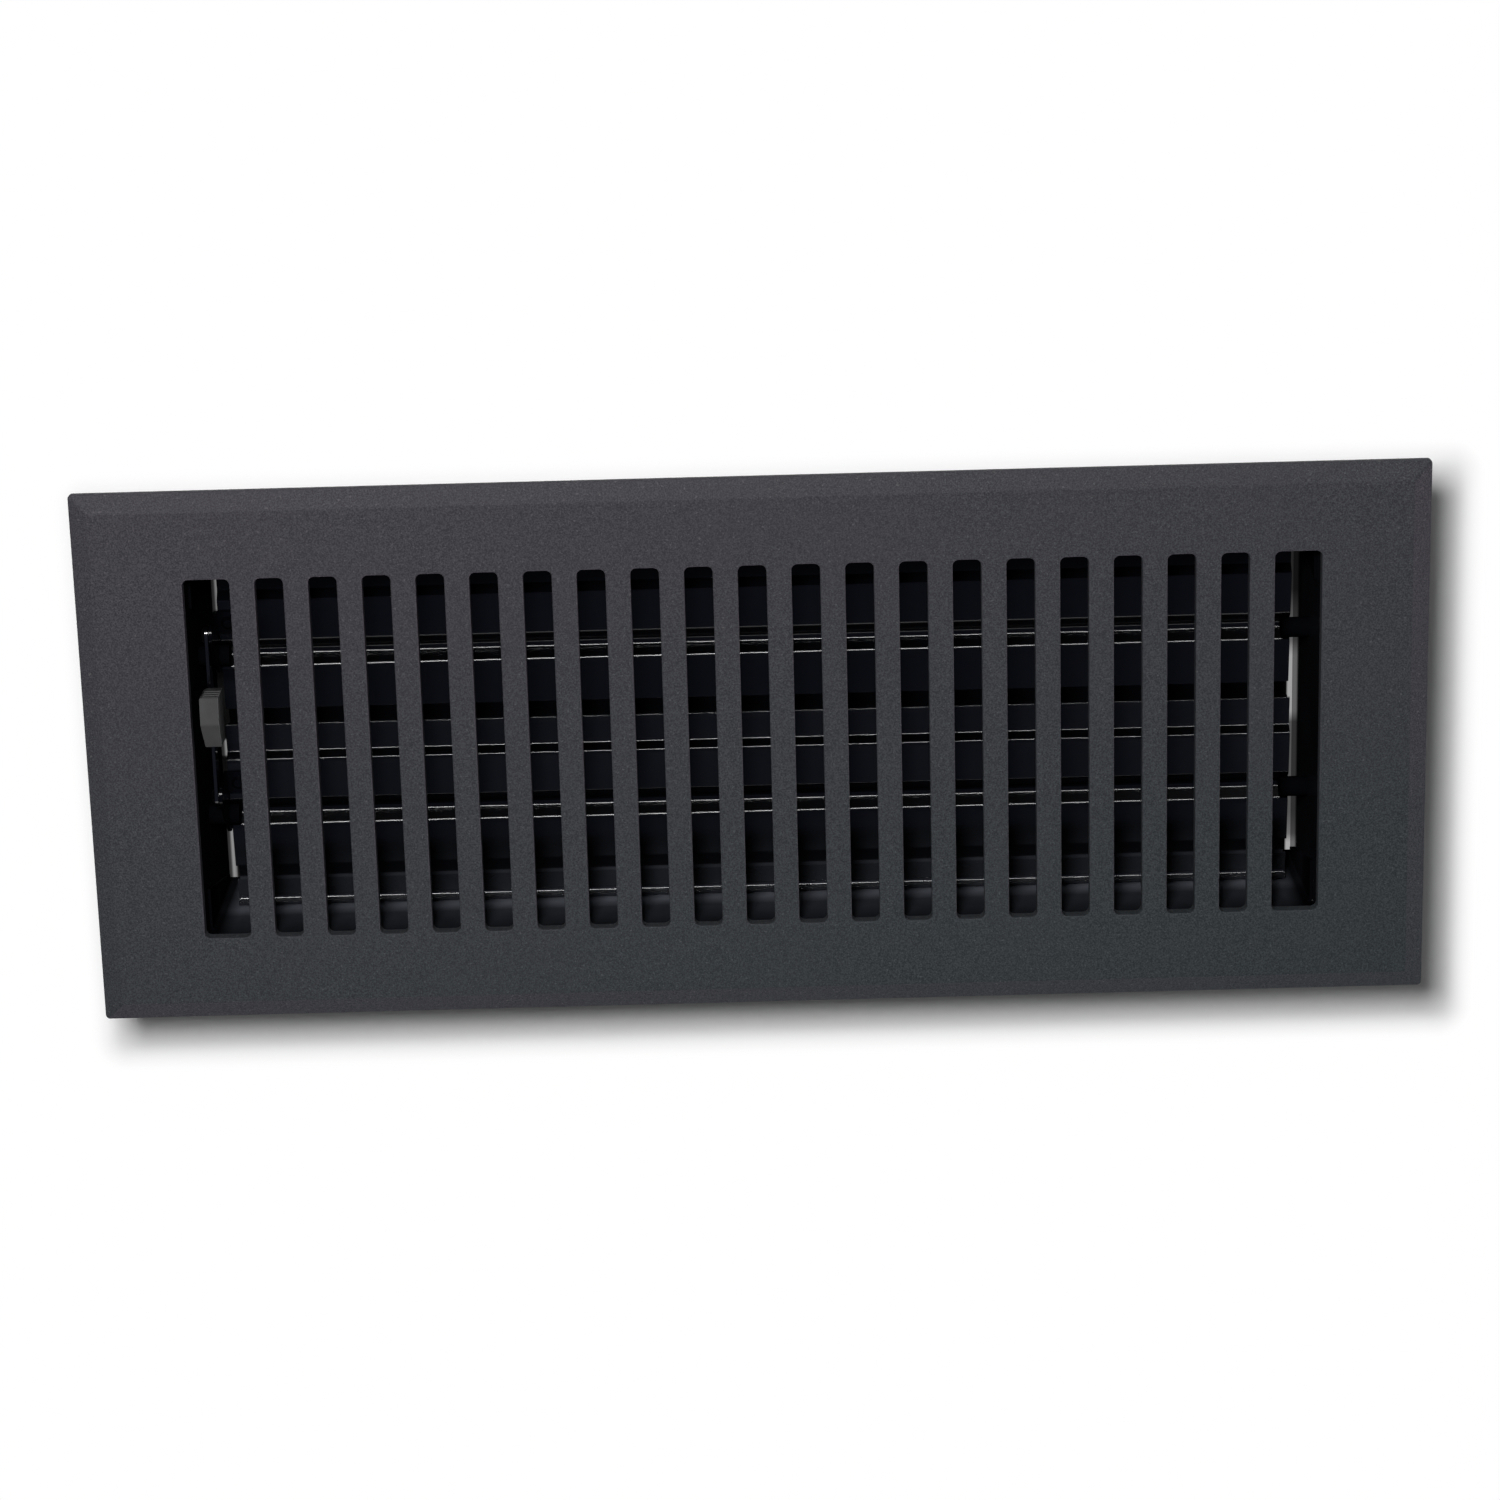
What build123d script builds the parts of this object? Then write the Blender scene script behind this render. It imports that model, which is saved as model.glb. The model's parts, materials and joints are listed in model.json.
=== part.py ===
from build123d import *
import math
import os

os.makedirs("parts", exist_ok=True)

# Linear bar floor register with a two-blade damper, lying face up.
# +X runs along the length away from the lever, +Y to the edge nearest the viewer's lens, +Z up.
# The origin is the centre of the damper box's bottom rim. Sizes in millimetres.

# Faceplate: the slot field takes what the borders leave
PLATE_L = 342.9
PLATE_W = 139.7
PLATE_T = 4.76
EDGE_H = 2.2
BEVEL_W = 4.8
CORNER_R = 1.1
TOP_CORNER_R = 0.6
END_BORDER = 27.65
SIDE_BORDER = 22.225
SLOT_COUNT = 19
BAR_W = 6.35
SLOT_R = 1.5
END_SLOT_W = 11.9
RECESS_D = 1.06
RECESS_CLEAR_L = 0.4
RECESS_CLEAR_W = 1.6

# Damper box
BOX_DEPTH = 50.0
SHEET = 0.8
BEND_R = 0.6
BOX_CLEAR_L = 0.2
BOX_CLEAR_W = 0.985
FLANGE_REACH = 6.4
FLANGE_INSET = 8.7
TAB_FOOT_Z = 5.0
TAB_TOP_DROP = 6.0
TAB_FOOT_W = 2.4
TAB_TOP_W = 11.0
TAB_RELIEF = 0.5

# Screws through the end flanges
SCREW_INSET = 18.7
SCREW_OUT = 3.6
SCREW_R = 1.6
SCREW_HEAD_ACROSS = 5.5
SCREW_HEAD_H = 2.0
SCREW_BITE = 2.6
SCREW_TIP_CLEAR = 0.3
SCREW_HOLE_CLEAR = 0.2
DRIVE_W = 0.9
DRIVE_D = 0.9

# Blades: u runs across the blade from the pivot, h stands square to it
PIVOT_DROP = 20.0
REST_TILT = 8.0
BLADE_T = 0.7
BLADE_CLEAR_LEFT = 5.6
BLADE_CLEAR_RIGHT = 4.8
WALL_CLEAR = 0.45
BLADE_LAP = 5.06
BACK_SHORT = 2.25
GROOVE_R = 2.67
GROOVE_WALL = 46.0
GROOVE_FLOOR_R = 1.6
SHOULDER_R = 2.0
FLAT_MID_U = 9.0
BACK_STEP_U = 15.2
BACK_STEP_H = 2.38
BACK_STEP_RUN = 1.86
BACK_BEND_R = 1.0
FRONT_STEP_U = 15.25
FRONT_STEP_H = 1.2
FRONT_STEP_RUN = 4.6
LIP_H = 1.6
LIP_BEND_R = 0.6
NOTCH_DEPTH = 0.75

# Pivot pins
PIN_SEAT_CLEAR = 0.02
PIN_RUN_CLEAR = 0.06
PIN_IN = 2.4
PIN_OUT = 1.5
PIN_EASE = 0.3

# Cranks, link bar and knob
CRANK_DY = 8.45
CRANK_DZ = 12.0
CRANK_T = 0.8
CRANK_GAP = 0.1
CRANK_HUB_WALL = 1.95
CRANK_EYE_WALL = 1.65
CRANK_HUB_CLEAR = 0.05
FOOT_U0 = 6.2
FOOT_U1 = 12.4
FOOT_LEN = 5.2
FOOT_RIVET_IN = 2.6
FOOT_SIDE_CLEAR = 0.3
RIVET_R = 1.1
RIVET_HEAD_R = 1.8
RIVET_CROWN_R = 1.1
RIVET_HEAD_H = 0.7
CRANK_PIN_R = 1.25
CRANK_PIN_HEAD_R = 2.2
CRANK_PIN_CROWN_R = 1.4
CRANK_PIN_HEAD_H = 0.7
LINK_T = 1.0
LINK_W = 5.2
LINK_GAP = 0.2
LINK_RUN_CLEAR = 0.06
LINK_FREE_CLEAR = 0.35
HEAD_GAP = 0.1
ARM_SHIFT = 2.45
ARM_W = 8.0
KNOB_STAND = 1.64
KNOB_ROOF = 2.8
KNOB_LIFT = 2.2
KNOB_OVERHANG = 0.75
KNOB_W = 4.8
KNOB_PEAK_BACK = 1.0
KNOB_REACH_BACK = 6.4
KNOB_REACH_FRONT = 7.4
KNOB_NOSE_DROP = 2.8
KNOB_NOSE_TAPER = 0.6
KNOB_BACK_DROP = 0.7
KNOB_GROOVES = 3
KNOB_RIB_H = 1.1
KNOB_GROOVE_H = 0.9
KNOB_GROOVE_D = 0.35
KNOB_CUT_IN = 0.9
KNOB_CUT_BACK = 0.5
KNOB_FIT = 0.05

# Derived positions
SLOT_L = PLATE_W - 2 * SIDE_BORDER
FIELD_HALF = PLATE_L / 2 - END_BORDER
SLOT_PITCH = (2 * FIELD_HALF - 2 * END_SLOT_W - BAR_W) / SLOT_COUNT
SLOT_W = SLOT_PITCH - BAR_W
BOX_HALF_L = FIELD_HALF + BOX_CLEAR_L
BOX_HALF_W = SLOT_L / 2 + BOX_CLEAR_W
RECESS_L = 2 * (BOX_HALF_L + SHEET + FLANGE_REACH + RECESS_CLEAR_L)
RECESS_W = 2 * (BOX_HALF_W + SHEET + RECESS_CLEAR_W)
SEAT_Z = BOX_DEPTH + RECESS_D
FLANGE_HALF_W = BOX_HALF_W + SHEET - FLANGE_INSET
TAB_TOP_Z = BOX_DEPTH - TAB_TOP_DROP
SCREW_X = BOX_HALF_L + SHEET + SCREW_OUT
SCREW_Y = BOX_HALF_W + SHEET - SCREW_INSET
PIVOT_Z = BOX_DEPTH - PIVOT_DROP
FRONT_REACH = (BOX_HALF_W - WALL_CLEAR + BLADE_LAP) / 2
PIVOT_Y = FRONT_REACH - BLADE_LAP
FRONT_EDGE_U = FRONT_REACH - BLADE_T
BACK_EDGE_U = FRONT_REACH - BACK_SHORT
BLADE_X0 = -BOX_HALF_L + BLADE_CLEAR_LEFT
BLADE_X1 = BOX_HALF_L - BLADE_CLEAR_RIGHT
PIN_R = GROOVE_R - PIN_SEAT_CLEAR
LINK_Z = PIVOT_Z + CRANK_DZ
CRANK_X1 = BLADE_X0 - CRANK_GAP
CRANK_X0 = CRANK_X1 - CRANK_T
LINK_X1 = CRANK_X0 - LINK_GAP
LINK_X0 = LINK_X1 - LINK_T
LINK_Y0 = -PIVOT_Y + CRANK_DY
LINK_Y1 = PIVOT_Y + CRANK_DY
FOOT_RIVET_U = (FOOT_U0 + FOOT_U1) / 2
ARM_Y = CRANK_DY + ARM_SHIFT
KNOB_FLOOR_Z = LINK_Z + LINK_W / 2 + KNOB_LIFT
KNOB_TOP_Z = BOX_DEPTH + PLATE_T + KNOB_STAND
ARM_TOP_Z = KNOB_TOP_Z - KNOB_ROOF
KNOB_X0 = LINK_X0 - KNOB_OVERHANG
KNOB_PEAK_Y = ARM_Y - KNOB_PEAK_BACK
KNOB_BACK_Y = ARM_Y + KNOB_REACH_BACK
KNOB_FRONT_Y = ARM_Y - KNOB_REACH_FRONT
TILT = math.radians(REST_TILT)
PIN_U = CRANK_DY * math.cos(TILT) + CRANK_DZ * math.sin(TILT)
PIN_H = -CRANK_DY * math.sin(TILT) + CRANK_DZ * math.cos(TILT)


def block(x0, x1, y0, y1, z0, z1):
    """Box between two corners."""
    size = Box(x1 - x0, y1 - y0, z1 - z0, align=(Align.MIN, Align.MIN, Align.MIN))
    return Pos(x0, y0, z0) * size


def rod_x(radius, x0, x1, y, z):
    """Round bar along X."""
    bar = Cylinder(radius, x1 - x0, align=(Align.CENTER, Align.CENTER, Align.MIN))
    return Pos(x0, y, z) * Rot(0, 90, 0) * bar


def rod_z(radius, z0, z1, x, y):
    """Round bar along Z."""
    bar = Cylinder(radius, z1 - z0, align=(Align.CENTER, Align.CENTER, Align.MIN))
    return Pos(x, y, z0) * bar


def crown(foot_r, top_r, height):
    """Low tapered fastener head standing on the plane z = 0."""
    return Cone(foot_r, top_r, height, align=(Align.CENTER, Align.CENTER, Align.MIN))


def yz_plate(sketch, x0, x1):
    """Flat plate drawn in (Y, Z) and thickened from x0 to x1."""
    plane = Plane(origin=(x0, 0, 0), x_dir=(0, 1, 0), z_dir=(1, 0, 0))
    return extrude(plane * sketch, amount=x1 - x0, dir=(1, 0, 0))


def slot_sketch():
    """The narrow bar slots and the two wide end slots."""
    narrow = GridLocations(SLOT_PITCH, 1, SLOT_COUNT, 1) * RectangleRounded(SLOT_W, SLOT_L, SLOT_R)
    end_x = FIELD_HALF - END_SLOT_W / 2
    wide = Locations((-end_x, 0), (end_x, 0)) * RectangleRounded(END_SLOT_W, SLOT_L, SLOT_R)
    return Sketch() + narrow + wide


def faceplate():
    """Cast plate: bevelled edge, slots, shallow recess and screw holes behind."""
    foot = RectangleRounded(PLATE_L, PLATE_W, CORNER_R)
    crest = RectangleRounded(PLATE_L - 2 * BEVEL_W, PLATE_W - 2 * BEVEL_W, TOP_CORNER_R)
    low = Pos(0, 0, BOX_DEPTH + EDGE_H) * foot
    high = Pos(0, 0, BOX_DEPTH + PLATE_T) * crest
    body = extrude(Pos(0, 0, BOX_DEPTH) * foot, amount=EDGE_H)
    body += loft([low.faces()[0], high.faces()[0]])
    recess = Rectangle(RECESS_L, RECESS_W)
    body -= extrude(Pos(0, 0, BOX_DEPTH) * recess, amount=RECESS_D)
    body -= extrude(Pos(0, 0, BOX_DEPTH) * slot_sketch(), amount=PLATE_T)
    for sx in (-1, 1):
        for sy in (-1, 1):
            hole_top = SEAT_Z + SCREW_BITE + SCREW_TIP_CLEAR
            body -= rod_z(SCREW_R, BOX_DEPTH, hole_top, sx * SCREW_X, sy * SCREW_Y)
    return body


def end_section():
    """End wall in (X, Z): upright sheet, bend and outward flange."""
    inner = BOX_HALF_L
    outer = inner + SHEET
    tip = outer + FLANGE_REACH
    big = BEND_R + SHEET
    cx = outer + BEND_R
    cz = SEAT_Z - big
    mid = math.sqrt(0.5)
    outline = [
        Line((inner, 0), (inner, cz)),
        ThreePointArc((inner, cz), (cx - big * mid, cz + big * mid), (cx, SEAT_Z)),
        Line((cx, SEAT_Z), (tip, SEAT_Z)),
        Line((tip, SEAT_Z), (tip, SEAT_Z - SHEET)),
        Line((tip, SEAT_Z - SHEET), (cx, SEAT_Z - SHEET)),
        ThreePointArc((cx, SEAT_Z - SHEET), (cx - BEND_R * mid, cz + BEND_R * mid), (outer, cz)),
        Line((outer, cz), (outer, 0)),
        Line((outer, 0), (inner, 0)),
    ]
    return make_face(Wire(outline).edges())


def end_wall(side):
    """End sheet of the box with its outward flange, pivot holes and screw holes."""
    half = BOX_HALF_W + SHEET
    upright = Plane(origin=(0, half, 0), x_dir=(1, 0, 0), z_dir=(0, -1, 0))
    wall = extrude(upright * end_section(), amount=2 * half, dir=(0, -1, 0))
    inner = BOX_HALF_L
    outer = inner + SHEET
    tip = outer + FLANGE_REACH
    bend_z = SEAT_Z - SHEET - BEND_R
    for sy in (-1, 1):
        y0 = min(sy * FLANGE_HALF_W, sy * half)
        y1 = max(sy * FLANGE_HALF_W, sy * half)
        wall -= block(inner, tip, y0, y1, bend_z, SEAT_Z)
        wall -= rod_x(PIN_R + PIN_RUN_CLEAR, inner, outer, sy * PIVOT_Y, PIVOT_Z)
        wall -= rod_z(SCREW_R + SCREW_HOLE_CLEAR, SEAT_Z - SHEET, SEAT_Z, SCREW_X, sy * SCREW_Y)
    return wall if side > 0 else mirror(wall, Plane.YZ)


def side_wall(side):
    """Long sheet of the box with a tapered tab turned in at each end."""
    big = BEND_R + SHEET
    y_in = BOX_HALF_W
    y_out = BOX_HALF_W + SHEET
    wall = block(-BOX_HALF_L + big, BOX_HALF_L - big, y_in, y_out, 0, SEAT_Z)
    bend = rod_z(big, TAB_FOOT_Z, TAB_TOP_Z, 0, 0) - rod_z(BEND_R, TAB_FOOT_Z, TAB_TOP_Z, 0, 0)
    bend = bend & block(0, big, 0, big, TAB_FOOT_Z, TAB_TOP_Z)
    tab = Polygon(
        (y_out - big, TAB_FOOT_Z),
        (y_out - big, TAB_TOP_Z),
        (y_in - TAB_TOP_W, TAB_TOP_Z),
        (y_in - TAB_FOOT_W, TAB_FOOT_Z),
        align=None,
    )
    turned = Pos(BOX_HALF_L - big, y_out - big, 0) * bend
    turned += yz_plate(tab, BOX_HALF_L - SHEET, BOX_HALF_L)
    turned += block(BOX_HALF_L - big, BOX_HALF_L, y_in, y_out, 0, TAB_FOOT_Z - TAB_RELIEF)
    turned += block(BOX_HALF_L - big, BOX_HALF_L, y_in, y_out, TAB_TOP_Z + TAB_RELIEF, SEAT_Z)
    wall += turned
    wall += mirror(turned, Plane.YZ)
    return wall if side > 0 else mirror(wall, Plane.XZ)


def blade_section():
    """Blade cross-section in (u, h): lip, stepped strip, flat, V groove, flat, stepped strip."""
    slope = math.radians(GROOVE_WALL)
    rim = GROOVE_R / math.sin(slope)
    apex = GROOVE_R / math.cos(slope)
    front = FilletPolyline(
        (-FRONT_EDGE_U, -FRONT_STEP_H + LIP_H),
        (-FRONT_EDGE_U, -FRONT_STEP_H),
        (-FRONT_STEP_U - FRONT_STEP_RUN, -FRONT_STEP_H),
        (-FRONT_STEP_U, 0),
        (-FLAT_MID_U, 0),
        radius=LIP_BEND_R,
    )
    left = FilletPolyline((-FLAT_MID_U, 0), (-rim, 0), (-rim / 2, -apex / 2), radius=SHOULDER_R)
    floor = FilletPolyline(
        (-rim / 2, -apex / 2), (0, -apex), (rim / 2, -apex / 2), radius=GROOVE_FLOOR_R
    )
    right = FilletPolyline((rim / 2, -apex / 2), (rim, 0), (FLAT_MID_U, 0), radius=SHOULDER_R)
    back = FilletPolyline(
        (FLAT_MID_U, 0),
        (BACK_STEP_U, 0),
        (BACK_STEP_U + BACK_STEP_RUN, -BACK_STEP_H),
        (BACK_EDGE_U, -BACK_STEP_H),
        radius=BACK_BEND_R,
    )
    top = Wire(front.edges() + left.edges() + floor.edges() + right.edges() + back.edges())
    strip = top.offset_2d(BLADE_T, kind=Kind.INTERSECTION, side=Side.RIGHT, closed=True)
    return make_face(strip.edges())


def on_blade(y):
    """Frame at a blade's pivot, tilted as the blade rests."""
    return Pos(0, y, PIVOT_Z) * Rot(REST_TILT, 0, 0)


def blade(y):
    """Pressed blade with relief notches at its front step and a rivet hole for the crank foot."""
    body = yz_plate(blade_section(), BLADE_X0, BLADE_X1)
    deep = FRONT_STEP_H + BLADE_T
    for x in (BLADE_X0, BLADE_X1):
        u0 = -FRONT_STEP_U - FRONT_STEP_RUN
        body -= block(x - NOTCH_DEPTH, x + NOTCH_DEPTH, u0, -FRONT_STEP_U, -deep, deep)
    body -= rod_z(RIVET_R, -BLADE_T, 0, BLADE_X0 + FOOT_RIVET_IN, FOOT_RIVET_U)
    return on_blade(y) * body


def pivot_pin(y, side):
    """Round pin lying in the groove and passing through the end wall."""
    end = BLADE_X1 if side > 0 else BLADE_X0
    tip = side * (BOX_HALF_L + SHEET + PIN_OUT)
    root = end - side * PIN_IN
    pin = rod_x(PIN_R, min(root, tip), max(root, tip), y, PIVOT_Z)
    rims = pin.edges().filter_by(GeomType.CIRCLE).sort_by(Axis.X)
    return chamfer(rims[-1] if side > 0 else rims[0], PIN_EASE)


def crank(y):
    """Bracket at the blade's left end: hub on the pivot pin, eye for the link, foot on the blade."""
    foot_w = FOOT_U1 - FOOT_U0
    foot_u = (FOOT_U0 + FOOT_U1) / 2
    hub_r = PIN_R + CRANK_HUB_WALL
    solid = Sketch() + Circle(hub_r)
    solid += Pos(PIN_U, PIN_H) * Circle(CRANK_PIN_R + CRANK_EYE_WALL)
    solid += Pos(foot_u, CRANK_T / 2) * Rectangle(foot_w, CRANK_T)
    outline = make_hull(solid.edges())
    outline -= Pos(foot_u, -hub_r) * Rectangle(foot_w + 2 * FOOT_SIDE_CLEAR, 2 * hub_r)
    outline -= Circle(PIN_R + CRANK_HUB_CLEAR)
    outline -= Pos(PIN_U, PIN_H) * Circle(CRANK_PIN_R)
    body = yz_plate(outline, CRANK_X0, CRANK_X1)
    body += block(CRANK_X0, BLADE_X0 + FOOT_LEN, FOOT_U0, FOOT_U1, 0, CRANK_T)
    body -= rod_z(RIVET_R, 0, CRANK_T, BLADE_X0 + FOOT_RIVET_IN, FOOT_RIVET_U)
    return on_blade(y) * body


def foot_rivet(y):
    """Rivet that holds a crank foot to its blade, flush below."""
    x = BLADE_X0 + FOOT_RIVET_IN
    body = rod_z(RIVET_R, -BLADE_T, CRANK_T, x, FOOT_RIVET_U)
    body += Pos(x, FOOT_RIVET_U, CRANK_T) * crown(RIVET_HEAD_R, RIVET_CROWN_R, RIVET_HEAD_H)
    return on_blade(y) * body


def crank_pin(y):
    """Headed rivet staked flush in a crank, on which the link bar turns."""
    py = y + CRANK_DY
    outer = LINK_X0 - HEAD_GAP
    head = crown(CRANK_PIN_HEAD_R, CRANK_PIN_CROWN_R, CRANK_PIN_HEAD_H)
    pin = rod_x(CRANK_PIN_R, outer, CRANK_X1, py, LINK_Z)
    return pin + Pos(outer, py, LINK_Z) * Rot(0, -90, 0) * head


def link_bar():
    """Flat bar between the cranks with the lever arm standing on it."""
    length = LINK_Y1 - LINK_Y0 + LINK_W
    bar = Pos((LINK_Y0 + LINK_Y1) / 2, LINK_Z) * SlotOverall(length, LINK_W)
    arm = Pos(ARM_Y, (LINK_Z + ARM_TOP_Z) / 2) * Rectangle(ARM_W, ARM_TOP_Z - LINK_Z)
    outline = bar + arm
    outline -= Pos(LINK_Y1, LINK_Z) * Circle(CRANK_PIN_R + LINK_RUN_CLEAR)
    outline -= Pos(LINK_Y0, LINK_Z) * Circle(CRANK_PIN_R + LINK_FREE_CLEAR)
    return yz_plate(outline, LINK_X0, LINK_X1)


def knob_profile():
    """Knob in (Y, Z): sloped nose, ridge, gentle back slope and a grooved upright back."""
    z = KNOB_TOP_Z - KNOB_BACK_DROP
    points = [
        (KNOB_FRONT_Y, KNOB_FLOOR_Z),
        (KNOB_FRONT_Y, KNOB_TOP_Z - KNOB_NOSE_DROP),
        (KNOB_PEAK_Y, KNOB_TOP_Z),
        (KNOB_BACK_Y, z),
    ]
    groove_y = KNOB_BACK_Y - KNOB_GROOVE_D
    for groove in range(KNOB_GROOVES):
        z -= KNOB_RIB_H
        points.append((KNOB_BACK_Y, z))
        points.append((groove_y, z))
        z -= KNOB_GROOVE_H
        points.append((groove_y, z))
        points.append((KNOB_BACK_Y, z))
    points.append((KNOB_BACK_Y, KNOB_FLOOR_Z))
    return Polygon(*points, align=None)


def knob():
    """Faceted cap on the lever arm: ridge across the top, grip grooves at the back, tapered nose."""
    x1 = KNOB_X0 + KNOB_W
    body = yz_plate(knob_profile(), KNOB_X0, x1)
    plan = Polygon(
        (KNOB_X0 + KNOB_NOSE_TAPER, KNOB_FRONT_Y),
        (x1, KNOB_FRONT_Y),
        (x1, KNOB_BACK_Y),
        (KNOB_X0 + KNOB_CUT_IN, KNOB_BACK_Y),
        (KNOB_X0, KNOB_BACK_Y - KNOB_CUT_BACK),
        (KNOB_X0, KNOB_PEAK_Y),
        align=None,
    )
    tall = KNOB_TOP_Z - KNOB_FLOOR_Z
    body = body & extrude(Pos(0, 0, KNOB_FLOOR_Z) * plan, amount=tall, dir=(0, 0, 1))
    side = ARM_W / 2 + KNOB_FIT
    slot_x0 = LINK_X0 - KNOB_FIT
    slot_x1 = LINK_X1 + KNOB_FIT
    body -= block(slot_x0, slot_x1, ARM_Y - side, ARM_Y + side, KNOB_FLOOR_Z, ARM_TOP_Z + KNOB_FIT)
    return body


def screw(sx, sy):
    """Slotted hex-head screw through an end flange into the back of the faceplate."""
    under = SEAT_Z - SHEET
    body = rod_z(SCREW_R, 0, SHEET + SCREW_BITE, 0, 0)
    hexagon = RegularPolygon(SCREW_HEAD_ACROSS / 2, 6, major_radius=False)
    body += extrude(hexagon, amount=SCREW_HEAD_H, dir=(0, 0, -1))
    drive = Box(DRIVE_W, 2 * SCREW_HEAD_ACROSS, DRIVE_D)
    body -= Pos(0, 0, DRIVE_D / 2 - SCREW_HEAD_H) * drive
    return Pos(sx * SCREW_X, sy * SCREW_Y, under) * body


PARTS = {
    "faceplate": faceplate(),
    "end_wall_left": end_wall(-1),
    "end_wall_right": end_wall(1),
    "side_wall_back": side_wall(1),
    "side_wall_front": side_wall(-1),
    "screw_back_left": screw(-1, 1),
    "screw_back_right": screw(1, 1),
    "screw_front_left": screw(-1, -1),
    "screw_front_right": screw(1, -1),
    "blade_back": blade(PIVOT_Y),
    "blade_front": blade(-PIVOT_Y),
    "pivot_pin_back_left": pivot_pin(PIVOT_Y, -1),
    "pivot_pin_back_right": pivot_pin(PIVOT_Y, 1),
    "pivot_pin_front_left": pivot_pin(-PIVOT_Y, -1),
    "pivot_pin_front_right": pivot_pin(-PIVOT_Y, 1),
    "crank_back": crank(PIVOT_Y),
    "crank_front": crank(-PIVOT_Y),
    "foot_rivet_back": foot_rivet(PIVOT_Y),
    "foot_rivet_front": foot_rivet(-PIVOT_Y),
    "crank_pin_back": crank_pin(PIVOT_Y),
    "crank_pin_front": crank_pin(-PIVOT_Y),
    "link_bar": link_bar(),
    "lever_knob": knob(),
}

for name, shape in PARTS.items():
    export_step(shape, f"parts/{name}.step")
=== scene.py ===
import json
import math

import bmesh
import bpy
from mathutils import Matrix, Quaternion, Vector

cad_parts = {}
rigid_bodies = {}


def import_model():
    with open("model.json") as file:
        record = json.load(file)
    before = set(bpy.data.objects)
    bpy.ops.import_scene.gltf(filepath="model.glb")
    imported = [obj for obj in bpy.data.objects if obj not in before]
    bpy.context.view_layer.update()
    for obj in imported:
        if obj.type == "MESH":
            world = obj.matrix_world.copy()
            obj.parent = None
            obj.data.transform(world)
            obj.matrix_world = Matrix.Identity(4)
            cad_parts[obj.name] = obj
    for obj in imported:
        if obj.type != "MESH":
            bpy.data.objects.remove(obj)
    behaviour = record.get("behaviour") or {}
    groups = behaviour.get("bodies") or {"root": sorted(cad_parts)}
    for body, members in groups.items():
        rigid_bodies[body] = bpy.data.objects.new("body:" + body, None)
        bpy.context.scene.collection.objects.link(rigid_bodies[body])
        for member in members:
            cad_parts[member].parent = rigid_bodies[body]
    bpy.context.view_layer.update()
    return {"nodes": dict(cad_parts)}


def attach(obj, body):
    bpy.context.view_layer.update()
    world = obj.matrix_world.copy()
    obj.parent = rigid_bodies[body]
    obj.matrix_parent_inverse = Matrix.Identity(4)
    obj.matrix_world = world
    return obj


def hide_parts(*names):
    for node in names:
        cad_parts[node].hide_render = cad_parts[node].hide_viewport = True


for old in list(bpy.data.objects):
    bpy.data.objects.remove(old)

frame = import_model()

MM = 0.001

# Faceplate sizes, in millimetres
PLATE_L = 342.9
PLATE_W = 139.7
PLATE_T = 4.76
PLATE_Z = 50.0
EDGE_H = 2.2
BEVEL_W = 4.8
CORNER_R = 1.1
TOP_CORNER_R = 0.6
END_BORDER = 27.65
SIDE_BORDER = 22.225
SLOT_COUNT = 19
BAR_W = 6.35
SLOT_R = 1.5
END_SLOT_W = 11.9
RECESS_D = 1.06
RECESS_HALF_L = 151.6
RECESS_HALF_W = 51.01
RECESS_R = 0.5
RIM_R = 0.35
CREST_R = 1.2
EDGE_R = 0.5
FOOT_R = 0.3
SUPPORT = 0.06
CORNER_STEPS = 8
RECESS_STEPS = 4

# Blade sizes, in millimetres and degrees
PIVOT_Y = 21.55
PIVOT_Z = 30.0
BLADE_TILT = 8.0
LIP_U = 25.91
LIP_FOOT_H = -1.2
BACK_RIM_R = 0.30
FILLET_R = 1.45
FILLET_STEPS = 16
FILLET_ENDS = (-138.0, 138.8)

# Edge rounding, in millimetres, and the turns in degrees that count as flat, sharp and square
SHEET_EDGE = 0.12
LINK_EDGE = 0.15
KNOB_EDGE = 0.30
EDGE_STEPS = 3
FLAT_TURN = 0.6
SHARP_TURN = 25
SQUARE_TURN = 50
RIM_TURN = 60
RIM_LEAST_M = 0.1
WELD_M = 1e-6
SHEET_RISE = 0.6

# Colours of the coat, linear, with painted light that makes it brighter toward the back and left of the
# plate and darker, a little greener, toward the front and right, and painted sheen on the bevels that face
# right and front
COAT_DARK = (0.0200, 0.0210, 0.0240, 1.0)
COAT_LIGHT = (0.0420, 0.0435, 0.0485, 1.0)
COAT_DRIFT = (0.0340, 0.0330, 0.0375, 1.0)
COAT_FLECK = (0.0750, 0.0750, 0.0780, 1.0)
# Painted light and shade across the coat: its direction, its reach, and the colour factors at its front and
# back ends
PAINTED_LIGHT_WAY = (-0.25, 1.2, 0.0)
PAINTED_LIGHT_REACH = 0.116
PAINTED_SHADE_FRONT = (1.190, 1.350, 1.310, 1.0)
PAINTED_LIGHT_BACK = (1.750, 1.620, 1.660, 1.0)
# Painted sheen: the bevels that face right and front get a lighter colour
PAINTED_SHEEN_WAY = (0.7, -0.7, 0.0)
PAINTED_SHEEN_LIFT = (1.420, 1.300, 1.350, 1.0)
COAT_SHINE = 0.04
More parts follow.
